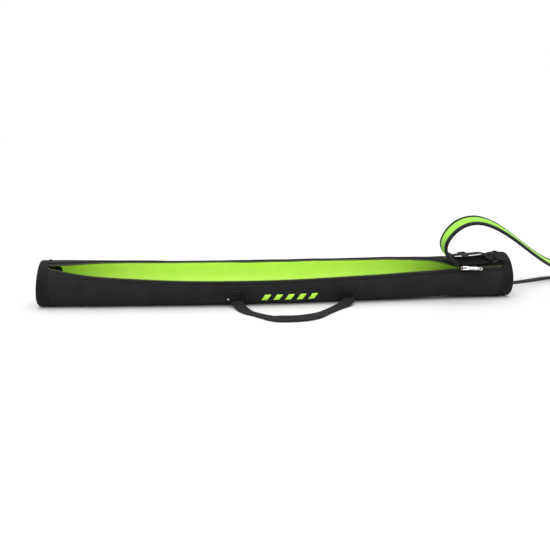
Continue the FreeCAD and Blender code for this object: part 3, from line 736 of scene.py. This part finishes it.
places = spread((outer_edge + inner_edge) / 2, inner_edge - outer_edge, 150)
handle = strip("carry_webbing", places, band(WEB_HALF, 2.2, 0.1), WEBBING, body=None, floor=0.25,
               slot="webbing")
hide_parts("handle_webbing")
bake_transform(handle)


def sewn_patch(side, middle):
    """A soft reinforcement over the webbing's sewn end, with its cross-stitched box."""
    xs = np.linspace(-PATCH_HALF, PATCH_HALF, 27)
    turns = np.linspace(PATCH_SPAN[0], PATCH_SPAN[1], 23)
    s = xs / PATCH_HALF
    t = (turns - sum(PATCH_SPAN) / 2) / ((PATCH_SPAN[1] - PATCH_SPAN[0]) / 2)
    edge = (np.clip((1 - np.abs(s)) * PATCH_HALF / 3.0, 0, 1)[:, None]
            * np.clip((1 - np.abs(t)) * 18 / 3.0, 0, 1)[None, :])
    over = (np.clip((13.8 - np.abs(xs)) / 3, 0, 1)[:, None]
            * np.clip((turns[None, :] * -1 - 10) / 5, 0, 1))
    high = 0.5 + 0.9 * np.sqrt(edge) + 2.1 * over * over * (3 - 2 * over)
    corner = np.clip(np.hypot(np.maximum(np.abs(s) - 0.8, 0)[:, None] / 0.2,
                              np.maximum(t - 0.8, 0)[None, :] / 0.2) - 1, 0, 1)
    x = middle + xs[:, None] * (1 - 0.04 * corner) + 0 * turns[None, :]
    turn = turns[None, :] - 2.5 * corner + 0 * xs[:, None]
    outside = skin(x, turn, -high)
    inside = skin(x, turn, -(high - 0.75))
    uv = np.stack([x, turn / MM_TURN], -1)
    # the patch's darker cloth is painted shade round the patch
    slab("patch_cloth_" + side, outside, inside, SHADED_CAP_CLOTH, uv, stands_for=["handle_patch_" + side],
         slot="patch_fabric")

    def height(x, turn):
        i = np.clip((x - middle + PATCH_HALF) / (2 * PATCH_HALF) * 26, 0, 25.99)
        j = np.clip((turn - PATCH_SPAN[0]) / (PATCH_SPAN[1] - PATCH_SPAN[0]) * 22, 0, 21.99)
        a, b = int(i), int(j)
        u, v = i - a, j - b
        return ((high[a, b] * (1 - u) + high[a + 1, b] * u) * (1 - v)
                + (high[a, b + 1] * (1 - u) + high[a + 1, b + 1] * u) * v)

    spots = []

    def seam(start, end):
        length = math.hypot(end[0] - start[0], (end[1] - start[1]) / MM_TURN)
        count = max(2, int(length / 3.3))
        for k in range(count):
            f, g = (k + 0.3) / count, (k + 0.7) / count
            x0, t0 = start[0] + (end[0] - start[0]) * f, start[1] + (end[1] - start[1]) * f
            x1, t1 = start[0] + (end[0] - start[0]) * g, start[1] + (end[1] - start[1]) * g
            here = skin(middle + x0, t0, -height(middle + x0, t0) - 0.12)
            there = skin(middle + x1, t1, -height(middle + x1, t1) - 0.12)
            spots.append((here, there - here, out_of(middle + x0, t0)))

    low, high_turn = PATCH_SPAN[0] + 3.5, PATCH_SPAN[1] - 3.5
    for a, b in (((-16.5, low), (16.5, low)), ((-16.5, high_turn), (16.5, high_turn)),
                 ((-16.5, low), (-16.5, high_turn)), ((16.5, low), (16.5, high_turn)),
                 ((-10, -38), (10, -38)), ((-10, -17), (10, -17)), ((-10, -38), (-10, -17)),
                 ((10, -38), (10, -17)), ((-10, -38), (10, -17)), ((10, -38), (-10, -17))):
        seam(a, b)
    grains("patch_stitches_" + side, spots, (2.3, 0.55, 0.5), THREAD, slot="patch_fabric")


for side, middle in (("left", -105.5), ("right", 149.5)):
    sewn_patch(side, middle)

spin = np.linspace(0, 2 * math.pi, 24, endpoint=False)
centre, out = skin(-119, -33.5, -2.4), out_of(-119, -33.5)
along = np.array([1.0, 0, 0])
downward = np.cross(out, along)
points = []
eyelet = ((3.0, -1.2), (3.0, 0.0), (2.7, 0.45), (2.1, 0.7), (1.5, 0.55), (1.1, 0.1), (0.9, -0.6),
          (0.02, -0.6))
for r, h in eyelet:
    points += [centre + out * h + r * (math.cos(a) * along + math.sin(a) * downward) for a in spin]
make("handle_eyelet", points, quads(len(eyelet), len(spin), closed=True), EYELET,
     stands_for=["handle_rivet"], slot="stop_metal")


# ---------------------------------------------------------------- padded shoulder strap

YAW, TILT = math.radians(28), math.radians(22)
LOOP_START = np.array([385.0, -38, 91])
LOOP_ALONG = np.array([math.cos(YAW), math.sin(YAW), 0])
LOOP_ACROSS = np.array([math.sin(YAW) * math.cos(TILT), -math.cos(YAW) * math.cos(TILT), -math.sin(TILT)])
LOOP_UP = np.cross(LOOP_ACROSS, LOOP_ALONG)

# places along and up in the loop's plane, and how the width direction leans there
STRAP_FOOT, STRAP_SIDE, STRAP_CREST, STRAP_END = (4, 3), (-50, 57), (12, 102), (442, -71)
FOOT_LEAN, BEND_LEAN, SLOPE_LEAN = (-0.4, -0.1), (-0.5, 0.1), (-0.13, -0.15)
BEND_STEPS, SLOPE_STEPS = 2, 6
STITCH_LINE = 14.6          # mm from the strap's middle to the stitches of its bindings


def in_loop(along, up):
    return LOOP_START + LOOP_ALONG * along + LOOP_UP * up


def leaned(along, up):
    return LOOP_ACROSS + LOOP_ALONG * along + LOOP_UP * up


def bezier(start, leave, arrive, end, count):
    """count places after the start of a Bezier curve, up to its end."""
    t = np.arange(1, count + 1)[:, None] / count
    start, leave, arrive, end = (np.array(place, float) for place in (start, leave, arrive, end))
    return list(start * (1 - t)**3 + leave * 3 * t * (1 - t)**2 + arrive * 3 * t**2 * (1 - t) + end * t**3)


strap_places = [STRAP_FOOT]
strap_places += bezier(STRAP_FOOT, (-16, 3), (-50, 38), STRAP_SIDE, BEND_STEPS)
strap_places += bezier(STRAP_SIDE, (-50, 80), (-25, 102), STRAP_CREST, BEND_STEPS)
strap_places += bezier(STRAP_CREST, (120, 102), (275, -25), STRAP_END, SLOPE_STEPS)
strap_leans = [np.array(FOOT_LEAN)] + [np.array(BEND_LEAN)] * (2 * BEND_STEPS)
for step in range(1, SLOPE_STEPS + 1):
    share = min(1, step / 2)
    strap_leans.append(np.array(BEND_LEAN) * (1 - share) + np.array(SLOPE_LEAN) * share)
strap = spread([in_loop(*place) for place in strap_places], [leaned(*lean) for lean in strap_leans], 300,
               taut=False)

back = [(-19.6, -0.3), (-19.6, -1.9), (-18, -2.7), (0, -2.9), (18, -2.7), (19.6, -1.9), (19.6, -0.3)]
back += [(s, 0.1) for s in (12, 0, -12)]
strip("strap_back", strap, back, SHELL, stands_for=["strap_webbing"], slot="strap_cloth")
face = [(s, 0.15) for s in (-13.6, -7, 0, 7, 13.6)]
face += [(s, 2.2 + 1.2 * (1 - (s / 13.6) ** 4)) for s in np.linspace(13.6, -13.6, 13)]
pad = strip("strap_face", strap, face, PAD_FACE, stands_for=["strap_lining"], slot="strap_face")
for side, sign in (("front", 1), ("back", -1)):
    inset = 12.8 if sign > 0 else 11.2
    fold = [(inset, 2.9), (inset + 0.8, 3.4), (17.6, 3.3), (19.6, 2.6), (20.6, 1.2), (20.6, -1.4),
            (19.6, -2.8), (17.6, -3.4), (inset + 0.8, -3.4), (inset, -2.95), (18.8, -2.3), (19.7, 1.4)]
    if sign < 0:
        fold = [(-s, t) for s, t in fold][::-1]
    strip("strap_edge_" + side, strap, fold, BINDING, stands_for=["strap_binding_" + side],
          slot="binding_fabric")
    middle, wide, normal, run = strap
    seam_line = middle + wide * sign * STITCH_LINE
    spots = []
    for at in np.arange(3, run[-1] - 3, 3.4):
        here = np.array([np.interp(at, run, seam_line[:, k]) for k in range(3)])
        there = np.array([np.interp(at + AHEAD, run, seam_line[:, k]) for k in range(3)])
        out = np.array([np.interp(at, run, normal[:, k]) for k in range(3)])
        spots.append((here + out * 3.4, there - here, out))
    grains("strap_stitches_" + side, spots, STITCH, THREAD, slot="binding_fabric")


# ---------------------------------------------------------------- rings, tabs and adjusting webbing

RING_TURN = {"right": 58, "left": 150}
RING_X = 478.0
RING_OUT = 5                # mm from the skin to the ring's plane


def ring_point(side, along, across_it, out):
    """A point by a ring: along points to the bag's end, out away from the bag."""
    t = math.radians(RING_TURN[side])
    outward = np.array([0, -math.cos(t), math.sin(t)])
    up = np.array([0, math.sin(t), math.cos(t)])
    away = 1 if side == "right" else -1
    at = np.array([away * RING_X, 0, AXIS]) + outward * (TUBE + RING_OUT)
    return at + np.array([away * along, 0, 0]) + up * across_it * away + outward * out


def skin_down(turn):
    t = math.radians(turn)
    return np.array([0, -math.sin(t), -math.cos(t)])


BOW_R = 15.0                # the round side of each ring
RING_WIRE = 1.5
for side in ("left", "right"):
    line = [ring_point(side, 0, y, 0) for y in np.linspace(-BOW_R, BOW_R, 9)]
    line += [ring_point(side, BOW_R * math.cos(a), BOW_R * math.sin(a), 0)
             for a in np.linspace(1.45, -1.45, 25)]
    line.append(line[0])
    points, faces = ring_line(line, RING_WIRE, 10)
    make("ring_" + side, points, faces, RING, stands_for=["d_ring_" + side], slot="ring_metal")
    upper, lower = [], []
    for along in np.linspace(9.5, 37, 12):
        ease = min(1, max(0, (along - 14) / 9))
        upper.append(ring_point(side, along, 0, 3.0 * (1 - ease) - 1.5 * ease))
        lower.append(ring_point(side, along, 0, -3.0 * (1 - ease) - 3.3 * ease))
    turn_in = [ring_point(side, 9.5 - 2.4 * math.sin(a), 0, 3.0 * math.cos(a))
               for a in np.linspace(2.7, 0.4, 5)]
    line = lower[::-1] + turn_in + upper
    wide = [skin_down(RING_TURN[side])] * len(line)
    strip("tab_" + side, spread(line, wide, 60), band(10, 1.4, 0.1), WEBBING,
          stands_for=["anchor_tab_" + side], slot="webbing")

GLIDE_FROM = np.array([394.0, -31, 104.25])
GLIDE_TO = np.array([452.0, -31, 107.6])
GLIDE_X = 411               # where the tri-glide is at rest
TURN_OUT = 2.55             # mm from the ring's bar to the webbing that turns round it
THIN_WEB = band(WEB_HALF, 1.5, 0.05)
low_line = [(388, -37, 93.2), (399.5, -34.1, 92), (412, -33.8, 91), (440, -32.9, 91.4), (460, -31, 93.2),
            ring_point("right", -8, 0, -TURN_OUT - 0.4), ring_point("right", -1.5, 0, -TURN_OUT)]
low_wide = [LOOP_ACROSS, LOOP_ACROSS + skin_down(50)] + [skin_down(a) for a in (50, 52, 55, 58, 58)]
high_line = [(377, -36, 99.8), (384, -33, 102.6), GLIDE_FROM, (GLIDE_FROM * 2 + GLIDE_TO) / 3,
             (GLIDE_FROM + GLIDE_TO * 2) / 3, GLIDE_TO, ring_point("right", -8, 0, TURN_OUT + 0.4),
             ring_point("right", -1.5, 0, TURN_OUT)]
level = (0, -1, 0)
high_wide = [LOOP_ACROSS, level, level, level, level, level, skin_down(60), skin_down(58)]
turn_round = [ring_point("right", TURN_OUT * math.sin(a), 0, -TURN_OUT * math.cos(a))
              for a in np.linspace(0.3, 2.85, 7)]
line = low_line + turn_round + high_line[::-1]
wide = low_wide + [skin_down(58)] * 7 + high_wide[::-1]
strip("adjusting_webbing", spread(line, wide, 170), THIN_WEB, WEBBING, stands_for=["adjuster_webbing"],
      slot="webbing")

tail_line = [in_loop(404, -66.7), in_loop(424, -71.5), in_loop(445, -76.3), in_loop(468, -80.9),
             in_loop(484, -86), in_loop(484, -93.5), in_loop(466, -96.3), (700, 178, 1.6), (640, 149, 1.6),
             (540, 118, 1.6), (420, 102, 1.6), (250, 98, 1.6), (50, 98, 1.6), (-150, 98, 1.6),
             (-290, 98, 1.8), (-318, 98, 2.6), (-342, 98, 5.6), (-385, 93, 20), (-425, 78, 43), (-455, 62, 64),
             ring_point("left", -8, 0, TURN_OUT + 0.4), ring_point("left", -1.5, 0, TURN_OUT)]
flat = LOOP_ACROSS * (1, 1, 0)
tail_wide = [leaned(-0.1, -0.22), leaned(-0.1, -0.2), leaned(-0.1, -0.18)] + [flat] * 4
tail_wide += [(0.45, -0.9, 0), (0.36, -0.93, 0), (0.22, -0.97, 0)] + [level] * 7
tail_wide += [(0, -1, 0.2), (0, -1, 0.5), (0, -0.8, 0.7)]
turn_round = [ring_point("left", TURN_OUT * math.sin(a), 0, TURN_OUT * math.cos(a))
              for a in np.linspace(0.3, 2.85, 7)]
turn_round += [ring_point("left", -3, 0, -TURN_OUT), ring_point("left", -14, 0, -TURN_OUT + 0.3)]
tail_wide += [skin_down(150)] * (2 + len(turn_round))
strip("tail_webbing", spread(tail_line + turn_round, tail_wide, 420), THIN_WEB, WEBBING, floor=0.15,
      stands_for=["strap_tail_left"], slot="webbing")

axis = (GLIDE_TO - GLIDE_FROM) / np.linalg.norm(GLIDE_TO - GLIDE_FROM)
glide_at = GLIDE_FROM + axis * (GLIDE_X - GLIDE_FROM[0]) / axis[0]
glide_up = np.array([-axis[2], 0, axis[0]])


def rounded_box(low, high, place, bevel):
    """Points and faces of a box with bevelled edges, carried into mm in the row frame."""
    work = bmesh.new()
    bmesh.ops.create_cube(work, size=1)
    size = Vector(high) - Vector(low)
    for v in work.verts:
        v.co = Vector([(v.co[k] + 0.5) * size[k] + low[k] for k in range(3)])
    bmesh.ops.bevel(work, geom=list(work.edges), offset=bevel, segments=3, profile=0.5, affect="EDGES")
    work.verts.ensure_lookup_table()
    points = [place(v.co) for v in work.verts]
    faces = [[v.index for v in f.verts] for f in work.faces]
    work.free()
    return points, faces


points, faces = [], []
for low, high in (((-8, -16.1, -3.4), (8, -13.1, 3.4)), ((-8, 13.1, -3.4), (8, 16.1, 3.4)),
                  ((-8, -13.4, 1.6), (-5, 13.4, 3.4)), ((5, -13.4, 1.6), (8, 13.4, 3.4)),
                  ((-1.5, -13.4, -3.4), (1.5, 13.4, -1.6))):
    some, these = rounded_box(
        low, high, lambda p: glide_at + axis * p.x + np.array([0, p.y, 0]) + glide_up * p.z, 0.7)
    faces += [[i + len(points) for i in f] for f in these]
    points += some
make("glide_buckle", points, faces, BUCKLE, body="strap_glide", stands_for=["tri_glide"],
     slot="glide_plastic")


# ---------------------------------------------------------------- printed mark

MARK_X, MARK_TURN = 16, -33
BAR_PITCH, BAR_WIDE, BAR_SLANT, BAR_REACH = 26, 13, 4, 9       # reach: up and down from its middle
points, faces, uv = [], [], []
for number in range(-2, 3):
    left = MARK_X + number * BAR_PITCH - BAR_WIDE / 2
    rows = np.linspace(-1, 1, 9)
    columns = np.linspace(0, 1, 7)
    start = len(points)
    for depth in (-0.22, 0.02):
        for r in rows:
            for c in columns:
                x = left + BAR_WIDE * c + BAR_SLANT * r
                turn = MARK_TURN + BAR_REACH * r * MM_TURN
                points.append(skin(x, turn, depth, FOLD_TABLE(x, turn)))
                uv.append((x, turn / MM_TURN))
    faces += quads(9, 7, start) + quads(9, 7, start + 63, flip=True)
    rim = [*range(6), *range(6, 62, 7), *range(62, 56, -1), *range(56, 0, -7)]
    for a, b in zip(rim, rim[1:] + rim[:1]):
        faces.append([start + a, start + 63 + a, start + 63 + b, start + b])
make("front_print", points, faces, INK, uv, stands_for=["printed_bars"], slot="print_ink")


# ---------------------------------------------------------------- floor, light and camera

def stage_floor():
    mesh = bpy.data.meshes.new("floor")
    mesh.from_pydata([(-9, -9, 0), (9, -9, 0), (9, 14, 0), (-9, 14, 0)], [], [(0, 1, 2, 3)])
    material, tree, shader = blank("floor_paper", 0.9, 0.1)
    grey = mix_colour(tree, blotches(tree, 3.0), (0.545, 0.545, 0.545), (0.555, 0.555, 0.555))
    link(tree, grey, shader.inputs["Base Color"])
    mesh.materials.append(material)
    ground = bpy.data.objects.new("floor", mesh)
    bpy.context.scene.collection.objects.link(ground)


def sunlight(name, way, angle, power):
    """A soft, wide light from a direction."""
    lamp = bpy.data.lights.new(name, "SUN")
    lamp.angle = math.radians(angle)
    lamp.energy = power
    holder = bpy.data.objects.new(name, lamp)
    holder.rotation_euler = Vector(way).to_track_quat("Z", "Y").to_euler()
    bpy.context.scene.collection.objects.link(holder)


stage_floor()
sunlight("key", (-0.15, -0.6, 0.8), 60, 2.0)
sunlight("top", (0.0, -0.1, 1.0), 80, 1.5)
world = bpy.data.worlds.new("studio")
world.use_nodes = True
world.node_tree.nodes["Background"].inputs["Color"].default_value = (1, 1, 1, 1)
world.node_tree.nodes["Background"].inputs["Strength"].default_value = 1.02
bpy.context.scene.world = world
bpy.context.scene.view_settings.view_transform = "Standard"

AZIMUTH, ELEVATION, DISTANCE = math.radians(-5.9), math.radians(11.2), 1.717
target = Vector((-0.0114, 0, 0.06))
back_way = Vector((math.sin(AZIMUTH) * math.cos(ELEVATION), -math.cos(AZIMUTH) * math.cos(ELEVATION),
                   math.sin(ELEVATION)))
right_way = Vector((math.cos(AZIMUTH), math.sin(AZIMUTH), 0))
camera = bpy.data.objects.new("camera", bpy.data.cameras.new("camera"))
camera.data.lens = 50
camera.data.sensor_width = 36
facing = Matrix((right_way, back_way.cross(right_way), back_way)).transposed()
camera.matrix_world = Matrix.Translation(target + back_way * DISTANCE) @ facing.to_4x4()
bpy.context.scene.collection.objects.link(camera)
bpy.context.scene.camera = camera
